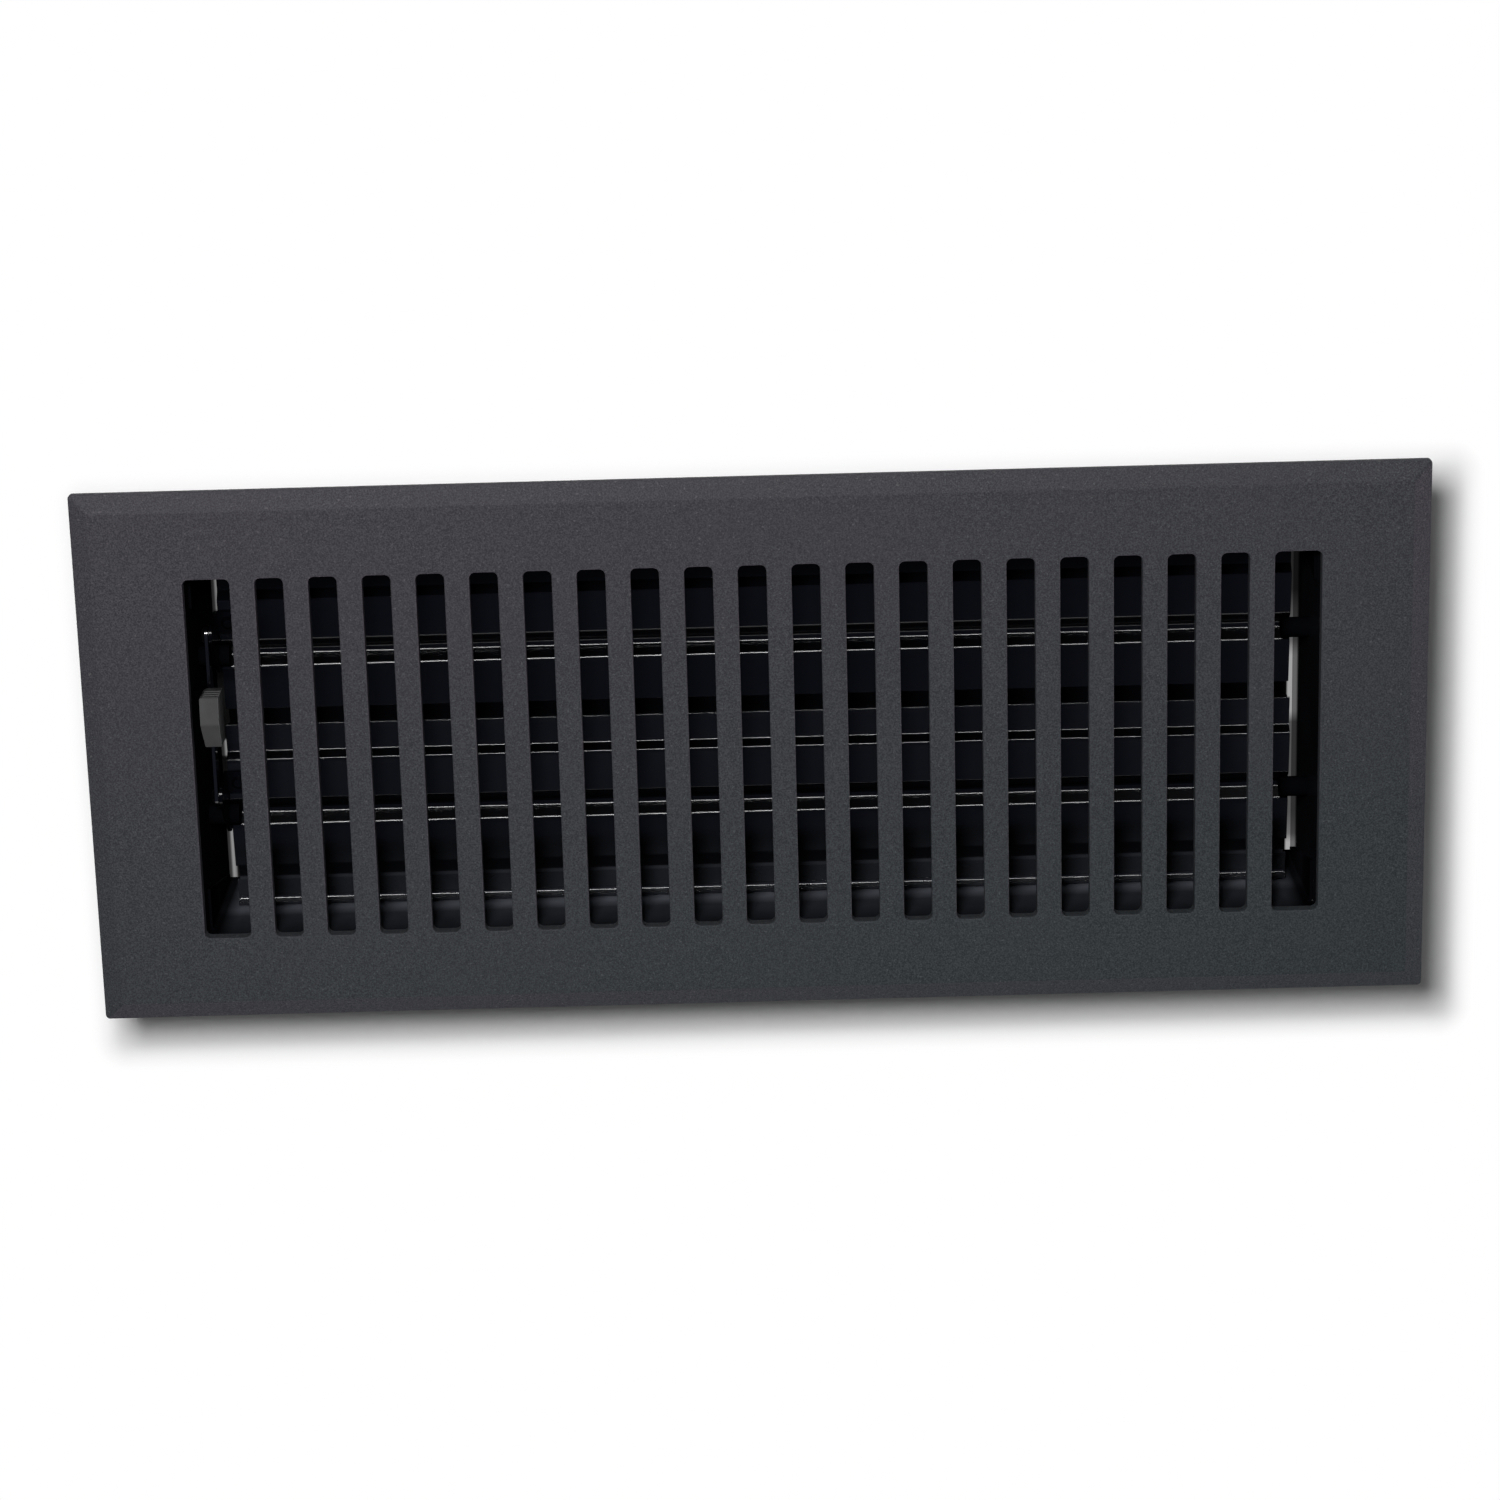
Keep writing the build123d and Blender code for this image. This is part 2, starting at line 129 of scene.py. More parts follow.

# Black paint: tones, dust, painted light and shade, and gloss. Stops are (place in metres, level) along one
# axis of the part
PAINT_DARK = (0.0007, 0.0008, 0.0013, 1.0)
PAINT_LIGHT = (0.0012, 0.0013, 0.0020, 1.0)
# Pale film: dust where its share is even, painted light where its share follows the blades' and walls'
# stops
DUST_AND_PAINTED_LIGHT = (0.160, 0.172, 0.205, 1.0)
SPECK = 0.02
GLOSS_ROUGH = (0.12, 0.16)
MATTE_ROUGH = (0.30, 0.40)
MIRROR_ROUGH = (0.04, 0.06)
WALL_ROUGH = (0.26, 0.32)
DRAWN_ROUGH = (0.244, 0.260)
GLOSS_SHINE = 0.5
DULL_SHINE = 0.10
MIRROR_SHINE = 0.06
DRAWN = 1.0
OUTWARD = (0.010, 0.030)
OUTER_SHINE = 0.40
OUTER_ROUGH = (0.30, 0.36)
OUTER_DUST = 0.03
# Painted shade: the share of the pale film left where it fades toward the ends of a wall
PAINTED_SHADE_AT_ENDS = 0.06
CLEAN = ((-0.2, 0.0), (0.2, 0.0))
TRACE = ((-0.2, 0.006), (0.2, 0.006))
FAINT = ((-0.2, 0.05), (0.2, 0.05))
# Painted light on the side walls: the pale film's share, heaviest low on the wall near the blades and
# fading toward the plate
WALL_PAINTED_LIGHT = ((0.0, 0.62), (0.0285, 0.62), (0.034, 0.20), (0.050, 0.06))
# Painted shade: distances from the middle over which the side walls' pale film fades toward their ends
WALL_PAINTED_SHADE_ENDS = (0.1375, 0.1415)
BACK_BLADE_SHINE = ((-0.010, GLOSS_SHINE), (0.036, GLOSS_SHINE), (0.038, 0.22), (0.050, 0.22))
# Back blade: a faint even dust, left out around the groove as painted shade
BACK_BLADE_DUST_AND_SHADE = (
    (-0.010, 0.004), (0.017, 0.004), (0.0175, 0.0), (0.0255, 0.0), (0.026, 0.004), (0.050, 0.002))
# Front blade: painted light as pale bands on the lower strip, at the foot of the lower step, on the lower
# wing, the upper wing and the upper strip; painted shade where the film is thin or absent at the lower
# step, the groove and the upper step
FRONT_BLADE_PAINTED_LIGHT_AND_SHADE = (
    (-0.050, 0.070), (-0.0412, 0.070), (-0.0408, 0.150), (-0.0402, 0.150), (-0.0398, 0.006),
    (-0.0366, 0.006), (-0.0362, 0.036), (-0.0300, 0.016), (-0.0262, 0.010), (-0.0257, 0.0),
    (-0.0175, 0.0), (-0.0170, 0.018), (-0.0074, 0.018), (-0.0070, 0.0), (-0.0046, 0.0),
    (-0.0042, 0.016), (0.005, 0.016))

# Zinc and plastic tones
ZINC_TONES = (0.30, 0.52)
DULL_ZINC_TONES = (0.05, 0.09)
ZINC_BLUE = 1.02
KNOB_DARK = (0.059, 0.059, 0.060, 1.0)
KNOB_LIGHT = (0.071, 0.071, 0.072, 1.0)
# Painted light: the knob's side facing +X is given this lighter colour
KNOB_PAINTED_LIGHT_SIDE = (0.190, 0.190, 0.194, 1.0)
KNOB_SHINE = 0.08
# Painted shade: the knob's colour is darkened on its nose and over its ribs
KNOB_PAINTED_SHADE = (
    (0.0, 0.83), (0.0100, 0.83), (0.0105, 1.0), (0.0168, 1.0), (0.0172, 0.55), (0.030, 0.55))

# Stage, in metres: the shadow's place on the white floor, and the painted pools of light on the shaded
# floor seen past the blades' ends
FLOOR_HALF = 3.0
SHADOW_MIDDLE = (0.005, -0.020, 0.0)
SHADOW_HALF = (0.180, 0.0745, 0.0)
SHADOW_FADE = (0.001, 0.010)
DUCT_HALF_L = 0.1440
DUCT_HALF_W = 0.0486
DUCT_LIFT = 0.0001
# Painted pools of light past the blades' ends: their glow, their reach from each end wall, and their
# patches along the walls
LIGHT_POOL_TONE = 0.38
RIGHT_LIGHT_POOL = (0.1424, 0.1429)
RIGHT_LIGHT_POOL_PATCHES = (
    (-0.050, 1.0), (-0.0465, 1.0), (-0.0440, 0.40), (-0.0380, 0.22), (-0.0125, 0.22), (-0.0095, 0.92),
    (0.0060, 0.92), (0.0100, 0.32), (0.0180, 0.20), (0.0240, 0.05), (0.050, 0.04))
LEFT_LIGHT_POOL = (
    (-0.1445, 0.06), (-0.1440, 0.06), (-0.1432, 0.16), (-0.1430, 1.0), (-0.1423, 1.0), (-0.1420, 0.0),
    (0.0, 0.0))
LEFT_LIGHT_POOL_PATCHES = (
    (-0.050, 0.70), (-0.034, 0.70), (-0.033, 0.0), (-0.0145, 0.0), (-0.014, 0.60), (-0.010, 0.60),
    (-0.0095, 0.0), (0.0255, 0.0), (0.0265, 0.50), (0.050, 0.50))

# Studio surround: colours in reflections, and the weaker grey light on matte surfaces
OVERHEAD = (0.140, 0.156, 0.235, 1.0)
HORIZON = (0.62, 0.62, 0.63, 1.0)
BEHIND = (0.030, 0.031, 0.036, 1.0)
FILL_OVERHEAD = 0.050
FILL_HORIZON = 0.26
HORIZON_FADE = (0.30, 0.68)
BEHIND_FADE = (0.62, 0.80)

# Lamps: name, shape, size and place in metres, watts, lights matte surfaces, shows in reflections
LAMP_AIM = (0.0, 0.0, 0.03)
LAMPS = (
    ("key_lamp", "DISK", (0.20,), (-0.105, 0.380, 1.0), 9.6, True, False),
    ("gloss_lamp", "RECTANGLE", (0.60, 0.178), (-0.22, 0.816, 1.003), 25.0, False, True),
    ("front_card", "RECTANGLE", (1.4, 0.23), (-0.05, -1.05, 0.79), 3.2, False, True),
)

# Camera at the photograph's angle
CAMERA_SENSOR = 36.0
CAMERA_LENS = 96.5536
CAMERA_NEAR = 0.05
CAMERA_PLACE = (0.000664363, 0.285331642, 1.04095721)
CAMERA_TURN = (0.9899698592786385, -0.14066625204420555, -0.0006930392625477981, -0.01312261224945165)


def tree_of(name):
    """A new material with an empty node tree and its output."""
    mat = bpy.data.materials.new(name)
    mat.use_nodes = True
    tree = mat.node_tree
    tree.nodes.clear()
    out = tree.nodes.new("ShaderNodeOutputMaterial")
    return mat, tree, out


def node(tree, kind, inputs=None, **settings):
    """Adds a node; an input's value may be a constant or another node's output."""
    made = tree.nodes.new(kind)
    for key, value in settings.items():
        setattr(made, key, value)
    for key, value in (inputs or {}).items():
        if isinstance(value, bpy.types.NodeSocket):
            tree.links.new(value, made.inputs[key])
        else:
            made.inputs[key].default_value = value
    return made


def noise(tree, where, scale, detail=2.0, roughness=0.5):
    """Noise value in the part's own coordinates."""
    made = node(tree, "ShaderNodeTexNoise", {
        "Vector": where, "Scale": scale, "Detail": detail, "Roughness": roughness})
    return made.outputs["Fac"]


def remap(tree, value, low, high, to_low, to_high, how="LINEAR"):
    """Change of range, held at its ends."""
    made = node(tree, "ShaderNodeMapRange", {
        "Value": value, "From Min": low, "From Max": high, "To Min": to_low, "To Max": to_high},
        interpolation_type=how)
    return made.outputs["Result"]


def combine(tree, first, second, how="MULTIPLY"):
    """Product of two values, or another simple sum of them."""
    return node(tree, "ShaderNodeMath", {0: first, 1: second}, operation=how).outputs[0]


def vector(tree, how, *values):
    """Result of a vector operation."""
    made = node(tree, "ShaderNodeVectorMath", dict(enumerate(values)), operation=how)
    return made.outputs["Value" if how in ("DOT_PRODUCT", "LENGTH") else "Vector"]


def blend_colors(tree, amount, first, second, how="MIX"):
    """Mix of two colours."""
    made = node(tree, "ShaderNodeMix", data_type="RGBA", blend_type=how)
    for key, value in ((0, amount), (6, first), (7, second)):
        if isinstance(value, bpy.types.NodeSocket):
            tree.links.new(value, made.inputs[key])
        else:
            made.inputs[key].default_value = value
    return made.outputs[2]


def through_stops(tree, along, stops):
    """Piecewise linear value of a coordinate, through (place, value) stops."""
    ramp = node(tree, "ShaderNodeFloatCurve", {"Value": remap(
        tree, along, stops[0][0], stops[-1][0], 0.0, 1.0)})
    span = stops[-1][0] - stops[0][0]
    points = ramp.mapping.curves[0].points
    while len(points) < len(stops):
        points.new(0.5, 0.5)
    for point, (place, value) in zip(points, stops):
        point.location = ((place - stops[0][0]) / span, value)
        point.handle_type = "VECTOR"
    ramp.mapping.update()
    return ramp.outputs["Value"]


def grey(value, blue=1.0):
    """Opaque colour from one linear value, with a little more or less blue."""
    return (value, value, value * blue, 1.0)


def powder_coat():
    """Matte charcoal powder coat with fine grain and scattered lighter flecks, painted light brighter
    toward the back and left, and painted sheen on the bevels that face right and front.
    """
    mat, tree, out = tree_of("powder_coat")
    places = node(tree, "ShaderNodeTexCoord")
    where = places.outputs["Object"]
    grain = noise(tree, where, 2600.0, 2.0, 0.6)
    cloud = noise(tree, where, 26.0, 3.0, 0.55)
    flecks = noise(tree, where, 1500.0, 1.0, 0.4)
    tone = blend_colors(tree, remap(tree, grain, 0.36, 0.64, 0.0, 1.0), COAT_DARK, COAT_LIGHT)
    drift = blend_colors(tree, remap(tree, cloud, 0.3, 0.7, 0.0, 0.25), tone, COAT_DRIFT)
    flecked = blend_colors(tree, remap(tree, flecks, 0.66, 0.76, 0.0, 0.55), drift, COAT_FLECK)
    # painted light: the coat is brightened toward the back and left and darkened toward the front and right
    toward_light = vector(tree, "DOT_PRODUCT", where, PAINTED_LIGHT_WAY)
    painted_light_tint = blend_colors(tree, remap(tree, toward_light, -PAINTED_LIGHT_REACH, PAINTED_LIGHT_REACH, 0.0, 1.0), PAINTED_SHADE_FRONT, PAINTED_LIGHT_BACK)
    painted_light_coat = blend_colors(tree, 1.0, flecked, painted_light_tint, "MULTIPLY")
    # painted sheen: colour lifted on the bevels that face right and front
    painted_light_facing = vector(tree, "DOT_PRODUCT", places.outputs["Normal"], PAINTED_SHEEN_WAY)
    color = blend_colors(tree, remap(tree, painted_light_facing, 0.12, 0.30, 0.0, 1.0), painted_light_coat, PAINTED_SHEEN_LIFT, "MULTIPLY")
    rough = remap(tree, grain, 0.25, 0.75, 0.50, 0.66)
    bump = node(tree, "ShaderNodeBump", {
        "Strength": 0.30, "Distance": 0.00012, "Height": grain})
    shader = node(tree, "ShaderNodeBsdfPrincipled", {
        "Base Color": color, "Roughness": rough, "Normal": bump.outputs["Normal"],
        "Specular IOR Level": COAT_SHINE})
    tree.links.new(shader.outputs["BSDF"], out.inputs["Surface"])
    return mat


def black_paint(name, rough_range, shine, stops_axis, dust_and_light_stops,
                drawn=0.0, shade_ends=None, outer_axis=None):
    """Black paint on sheet steel, with a faint orange peel, uneven gloss and a pale film of settled dust
    and painted light and shade.

    A drawn sheet spreads its gloss along its length. The pale film's share follows the stops along one axis
    of the part: an even low share is dust, while bands of it paint light and gaps in it paint shade. It may
    fade out between two distances from the middle of its length, which paints shade toward the part's ends.
    The shine is one level, or stops along the same axis. Faces turned outward along the outer
    axis are wiped clean and have a satin gloss.
    """
    mat, tree, out = tree_of(name)
    places = node(tree, "ShaderNodeTexCoord")
    where = places.outputs["Object"]
    axes = node(tree, "ShaderNodeSeparateXYZ", {0: where})
    peel = noise(tree, where, 420.0, 2.0, 0.5)
    cloud = noise(tree, where, 45.0, 3.0, 0.6)
    specks = noise(tree, where, 1900.0, 1.0, 0.5)
    base = blend_colors(tree, remap(tree, cloud, 0.3, 0.7, 0.0, 1.0), PAINT_DARK, PAINT_LIGHT)
    rough = remap(tree, cloud, 0.3, 0.7, *rough_range)
    if isinstance(shine, tuple):
        shine = through_stops(tree, axes.outputs[stops_axis], shine)
    share = through_stops(tree, axes.outputs[stops_axis], dust_and_light_stops)
    # painted shade: the film fades out toward the part's ends
    if shade_ends:
        off_middle = combine(tree, axes.outputs["X"], 0.0, "ABSOLUTE")
        share = combine(tree, share, remap(tree, off_middle, *shade_ends, 1.0, PAINTED_SHADE_AT_ENDS))
    if outer_axis:
        turned = node(tree, "ShaderNodeSeparateXYZ", {0: places.outputs["Normal"]})
        outward = combine(tree, turned.outputs[outer_axis], axes.outputs[outer_axis])
        share = combine(tree, share, remap(tree, outward, *OUTWARD, 1.0, OUTER_DUST))
        shine = remap(tree, outward, *OUTWARD, shine, OUTER_SHINE)
        outer_rough = remap(tree, cloud, 0.3, 0.7, *OUTER_ROUGH)
        rough = remap(tree, outward, *OUTWARD, rough, outer_rough)
    uneven = combine(tree, share, remap(tree, cloud, 0.3, 0.7, 0.75, 1.25))
    # pale film of dust and painted light, laid over the paint by its share
    film = blend_colors(tree, uneven, base, DUST_AND_PAINTED_LIGHT)
    color = blend_colors(tree, remap(tree, specks, 0.70, 0.82, 0.0, 0.20), film, grey(SPECK))
    bump = node(tree, "ShaderNodeBump", {
        "Strength": 0.03, "Distance": 0.00004, "Height": peel})
    shader = node(tree, "ShaderNodeBsdfPrincipled", {
        "Base Color": color, "Roughness": rough, "Normal": bump.outputs["Normal"],
        "Specular IOR Level": shine, "Anisotropic": drawn})
    if drawn:
        tangent = node(tree, "ShaderNodeTangent", direction_type="UV_MAP", uv_map="sheet")
        tree.links.new(tangent.outputs["Tangent"], shader.inputs["Tangent"])
    tree.links.new(shader.outputs["BSDF"], out.inputs["Surface"])
    return mat


def zinc_steel(name, low, high):
    """Zinc-plated steel of the crank pins and screws, mottled between two tones."""
    mat, tree, out = tree_of(name)
    where = node(tree, "ShaderNodeTexCoord").outputs["Object"]
    mottle = noise(tree, where, 900.0, 3.0, 0.6)
    color = blend_colors(tree, remap(tree, mottle, 0.3, 0.7, 0.0, 1.0),
                         grey(low, ZINC_BLUE), grey(high, ZINC_BLUE))
    rough = remap(tree, mottle, 0.3, 0.7, 0.26, 0.42)
    shader = node(tree, "ShaderNodeBsdfPrincipled", {
        "Base Color": color, "Roughness": rough, "Metallic": 1.0})
    tree.links.new(shader.outputs["BSDF"], out.inputs["Surface"])
    return mat


def knob_plastic():
    """Moulded dark grey plastic with a spark-eroded grain, with painted shade in three tones along its
    length and painted light on its side facing +X.
    """
    mat, tree, out = tree_of("knob_plastic")
    places = node(tree, "ShaderNodeTexCoord")
    where = places.outputs["Object"]
    grain = noise(tree, where, 3200.0, 2.0, 0.6)
    cloud = noise(tree, where, 220.0, 2.0, 0.5)
    plain = blend_colors(tree, remap(tree, cloud, 0.3, 0.7, 0.0, 1.0), KNOB_DARK, KNOB_LIGHT)
    along = node(tree, "ShaderNodeSeparateXYZ", {0: where}).outputs["Y"]
    # painted shade on the nose and ribs
    painted_shade_tone = blend_colors(tree, through_stops(tree, along, KNOB_PAINTED_SHADE), grey(0.0), plain)
    # painted light on the side facing +X
    painted_light_facing = node(tree, "ShaderNodeSeparateXYZ", {0: places.outputs["Normal"]}).outputs["X"]
    color = blend_colors(tree, remap(tree, painted_light_facing, 0.5, 0.9, 0.0, 1.0), painted_shade_tone, KNOB_PAINTED_LIGHT_SIDE)
    rough = remap(tree, grain, 0.3, 0.7, 0.42, 0.58)
    bump = node(tree, "ShaderNodeBump", {
        "Strength": 0.25, "Distance": 0.00006, "Height": grain})
    shader = node(tree, "ShaderNodeBsdfPrincipled", {
        "Base Color": color, "Roughness": rough, "Normal": bump.outputs["Normal"],
        "Specular IOR Level": KNOB_SHINE})
    tree.links.new(shader.outputs["BSDF"], out.inputs["Surface"])
    return mat


def smooth_by_area(mesh):
    """Smooth shading in which wide flat faces keep their own direction."""
    total = [Vector() for _ in mesh.vertices]
    for face in mesh.polygons:
        for index in face.vertices:
            total[index] += face.normal * face.area
    for face in mesh.polygons:
        face.use_smooth = True
    mesh.normals_split_custom_set_from_vertices([v.normalized() for v in total])


def piece_from(bm, name, material):
    """Turns a bmesh, in metres, into an object with one material."""
    mesh = bpy.data.meshes.new(name)
    bm.to_mesh(mesh)
    bm.free()
    mesh.materials.append(material)
    smooth_by_area(mesh)
    piece = bpy.data.objects.new(name, mesh)
    bpy.context.scene.collection.objects.link(piece)
    return piece


def rounded_ring(bm, half_l, half_w, radius, x, z, steps):
    """Closed loop of vertices round a rectangle with rounded corners, in millimetres."""
    ring = []
    for turn, (sx, sy) in enumerate(((1, 1), (-1, 1), (-1, -1), (1, -1))):
        for step in range(steps + 1):
            angle = math.pi / 2 * (turn + step / steps)
            px = x + sx * (half_l - radius) + radius * math.cos(angle)
            py = sy * (half_w - radius) + radius * math.sin(angle)
            ring.append(bm.verts.new((px * MM, py * MM, z * MM)))
    return ring


def bridge(bm, lower, upper, outward=True):
    """Quads between two loops of equal count."""
    count = len(lower)
    for i in range(count):
        j = (i + 1) % count
        quad = (lower[i], lower[j], upper[j], upper[i])
        bm.faces.new(quad if outward else tuple(reversed(quad)))


def loop_edges(bm, ring):
    """The edges of a closed loop, made where they are missing."""
    edges = []
    for i, vert in enumerate(ring):
        other = ring[(i + 1) % len(ring)]
        edges.append(bm.edges.get((vert, other)) or bm.edges.new((vert, other)))
    return edges


def fill_between(bm, rings, up):
    """Flat face with holes between an outer loop and inner ones."""
    edges = [edge for ring in rings for edge in loop_edges(bm, ring)]
    made = bmesh.ops.triangle_fill(bm, use_beauty=True, use_dissolve=False, edges=edges)
    for face in made["geom"]:
        if isinstance(face, bmesh.types.BMFace):
            face.normal_update()
            if (face.normal.z > 0) != up:
                face.normal_flip()


def arc_points(corner, before, after, radius, steps):
    """Points of a fillet between two straight lines that meet at a corner, in a plane."""
    a = (Vector(before) - Vector(corner)).normalized()
    b = (Vector(after) - Vector(corner)).normalized()
    half = a.angle(b) / 2
    middle = Vector(corner) + (a + b).normalized() * (radius / math.sin(half))
    start = Vector(corner) + a * (radius / math.tan(half)) - middle
    end = Vector(corner) + b * (radius / math.tan(half)) - middle
    sweep = start.angle(end)
    points = []
    for step in range(steps + 1):
        t = step / steps
        mix = start * math.sin((1 - t) * sweep) + end * math.sin(t * sweep)
        points.append(middle + mix / math.sin(sweep))
    return points


def slot_places():
    """Centre and half width of every slot."""
    field = PLATE_L / 2 - END_BORDER
    pitch = (2 * field - 2 * END_SLOT_W - BAR_W) / SLOT_COUNT
    places = [((i - (SLOT_COUNT - 1) / 2) * pitch, (pitch - BAR_W) / 2) for i in range(SLOT_COUNT)]
    end_x = field - END_SLOT_W / 2
    return [(-end_x, END_SLOT_W / 2)] + places + [(end_x, END_SLOT_W / 2)]


def edge_profile():
    """Section of the plate's outer edge, as (inset, height): foot, edge, bevel and crest."""
    top = PLATE_Z + PLATE_T
    shoulder = PLATE_Z + EDGE_H
    profile = [(FOOT_R + SUPPORT, PLATE_Z)]
    profile += arc_points((0, PLATE_Z), (BEVEL_W, PLATE_Z), (0, shoulder), FOOT_R, 3)
    profile += arc_points((0, shoulder), (0, PLATE_Z), (BEVEL_W, top), EDGE_R, 4)
    profile += arc_points((BEVEL_W, top), (0, shoulder), (PLATE_W / 2, top), CREST_R, 4)
    profile.append((BEVEL_W + CREST_R, top))
    return profile


def slot_profile(top, ceiling):
    """Section of a slot's wall, as (distance out, height): eased rim, wall and eased foot."""
    wall = [(RIM_R + SUPPORT, top)]
    wall += arc_points((0, top), (BAR_W, top), (0, ceiling), RIM_R, 4)
    wall += arc_points((0, ceiling), (0, top), (BAR_W, ceiling), RIM_R / 2, 2)
    wall.append((RIM_R / 2 + SUPPORT, ceiling))
    return wall


def faceplate_piece(material):
    """Cast faceplate with softened bevels and eased slot rims."""
    bm = bmesh.new()
    rings = []
    for inset, z in edge_profile():
        share = min(max(inset / BEVEL_W, 0.0), 1.0)
        radius = CORNER_R + (TOP_CORNER_R - CORNER_R) * share
        half_l = PLATE_L / 2 - inset
        rings.append(rounded_ring(bm, half_l, PLATE_W / 2 - inset, radius, 0, z, CORNER_STEPS))
    for lower, upper in zip(rings, rings[1:]):
        bridge(bm, lower, upper)
    ceiling = PLATE_Z + RECESS_D
    top_loops = [rings[-1]]
    ceiling_loops = []
    half_w = PLATE_W / 2 - SIDE_BORDER
    for x, half in slot_places():
        loops = [rounded_ring(bm, half + out, half_w + out, SLOT_R + out, x, z, CORNER_STEPS)
                 for out, z in slot_profile(PLATE_Z + PLATE_T, ceiling)]
        for upper, lower in zip(loops, loops[1:]):
            bridge(bm, upper, lower)
        top_loops.append(loops[0])
        ceiling_loops.append(loops[-1])
    foot, roof = (
        rounded_ring(bm, RECESS_HALF_L, RECESS_HALF_W, RECESS_R, 0, z, RECESS_STEPS)
        for z in (PLATE_Z, ceiling))
    bridge(bm, foot, roof, outward=False)
    fill_between(bm, top_loops, up=True)
    fill_between(bm, [roof] + ceiling_loops, up=False)
    fill_between(bm, [rings[0], foot], up=False)
    bmesh.ops.recalc_face_normals(bm, faces=bm.faces)
    return piece_from(bm, "faceplate_cast", material)


def sharp_edges(bm, degrees):
    """Edges at which two faces turn by more than an angle."""
    limit = math.radians(degrees)
    return [e for e in bm.edges if len(e.link_faces) == 2 and e.calc_face_angle() > limit]


def round_edges(bm, edges, width):
    """Rounds edges to a width in millimetres."""
    bmesh.ops.bevel(bm, geom=edges, offset=width * MM, offset_type="OFFSET", segments=EDGE_STEPS,
                    profile=0.5, affect="EDGES", clamp_overlap=True)


def unwrap(bm):
    """Flat map whose first direction runs along the part's length."""
    layer = bm.loops.layers.uv.new("sheet")
    for face in bm.faces:
        for loop in face.loops:
            x, y, z = loop.vert.co
            loop[layer].uv = (x, y + SHEET_RISE * z)


def softened(name, node_name, width, material, back_rim=0.0):
    """Copy of a CAD node with its sharp edges rounded, and its long back rim rounded more."""
    bm = bmesh.new()
    bm.from_mesh(frame["nodes"][node_name].data)
    bmesh.ops.remove_doubles(bm, verts=bm.verts, dist=WELD_M)
    bmesh.ops.dissolve_limit(bm, angle_limit=math.radians(FLAT_TURN), verts=bm.verts, edges=bm.edges)
    least = SHARP_TURN
    if back_rim:
        middle = sum(v.co.y for v in bm.verts) / len(bm.verts)
        rim = [e for e in sharp_edges(bm, RIM_TURN)
               if e.calc_length() > RIM_LEAST_M and e.verts[0].co.y > middle]
        round_edges(bm, rim, back_rim)
        least = SQUARE_TURN
    round_edges(bm, sharp_edges(bm, least), width)
    bmesh.ops.triangulate(bm, faces=[f for f in bm.faces if len(f.verts) > 4])
    unwrap(bm)
    piece = piece_from(bm, name, material)
    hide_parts(node_name)
    return piece


def lip_fillet(name, pivot_y, material):
    """Paint run in the inner corner of a blade's front lip."""
    middle_u = -LIP_U + FILLET_R
    middle_h = LIP_FOOT_H + FILLET_R
    profile = [(-LIP_U, LIP_FOOT_H)]
    for step in range(FILLET_STEPS + 1):
        angle = math.pi * (1.5 - 0.5 * step / FILLET_STEPS)
        profile.append((middle_u + FILLET_R * math.cos(angle), middle_h + FILLET_R * math.sin(angle)))
    tilt = math.radians(BLADE_TILT)
    bm = bmesh.new()
    rings = []
    for x in FILLET_ENDS:
        ring = []
        for u, h in profile:
            y = pivot_y + u * math.cos(tilt) - h * math.sin(tilt)
            z = PIVOT_Z + u * math.sin(tilt) + h * math.cos(tilt)
            ring.append(bm.verts.new((x * MM, y * MM, z * MM)))
        rings.append(ring)
    bridge(bm, rings[0], rings[1])
    bm.faces.new(rings[0])
    bm.faces.new(reversed(rings[1]))
    bmesh.ops.recalc_face_normals(bm, faces=bm.faces)
    unwrap(bm)
    return piece_from(bm, name, material)


def finish_node(node_name, material):
    """Gives a CAD node its material."""
    mesh = frame["nodes"][node_name].data
    mesh.materials.clear()
    mesh.materials.append(material)


def area_light(name, shape, size, place, watts, on_matte, in_gloss):
    """Soft lamp aimed at the object, for matte surfaces, for reflections or for both."""
    lamp = bpy.data.lights.new(name, "AREA")
    lamp.shape = shape
    lamp.size = size[0]
    if shape == "RECTANGLE":
        lamp.size_y = size[1]
    lamp.energy = watts
    made = bpy.data.objects.new(name, lamp)
    made.location = place
    made.rotation_mode = "QUATERNION"
    made.rotation_quaternion = (Vector(LAMP_AIM) - Vector(place)).to_track_quat("-Z", "Y")
    made.visible_diffuse = on_matte
    made.visible_glossy = in_gloss
    bpy.context.scene.collection.objects.link(made)


def seen_directly(tree):
    """1 for rays from the eye, and for those mirrored or passed on."""
    path = node(tree, "ShaderNodeLightPath")
    seen = combine(tree, path.outputs["Is Camera Ray"], path.outputs["Is Glossy Ray"], "MAXIMUM")
    return combine(tree, seen, path.outputs["Is Transmission Ray"], "MAXIMUM")


def floor_shader(tree, out, where, dark, light, glow, amount):
    """Matte floor between two greys that glows to the eye by an amount."""
    fibre = noise(tree, where, 300.0, 2.0, 0.5)
    plain = node(tree, "ShaderNodeBsdfDiffuse", {
        "Color": blend_colors(tree, fibre, grey(dark), grey(light))})
    bright = node(tree, "ShaderNodeEmission", {"Color": grey(glow), "Strength": 1.0})
    mixed = node(tree, "ShaderNodeMixShader", {
        0: combine(tree, seen_directly(tree), amount), 1: plain.outputs[0], 2: bright.outputs[0]})
    tree.links.new(mixed.outputs[0], out.inputs["Surface"])


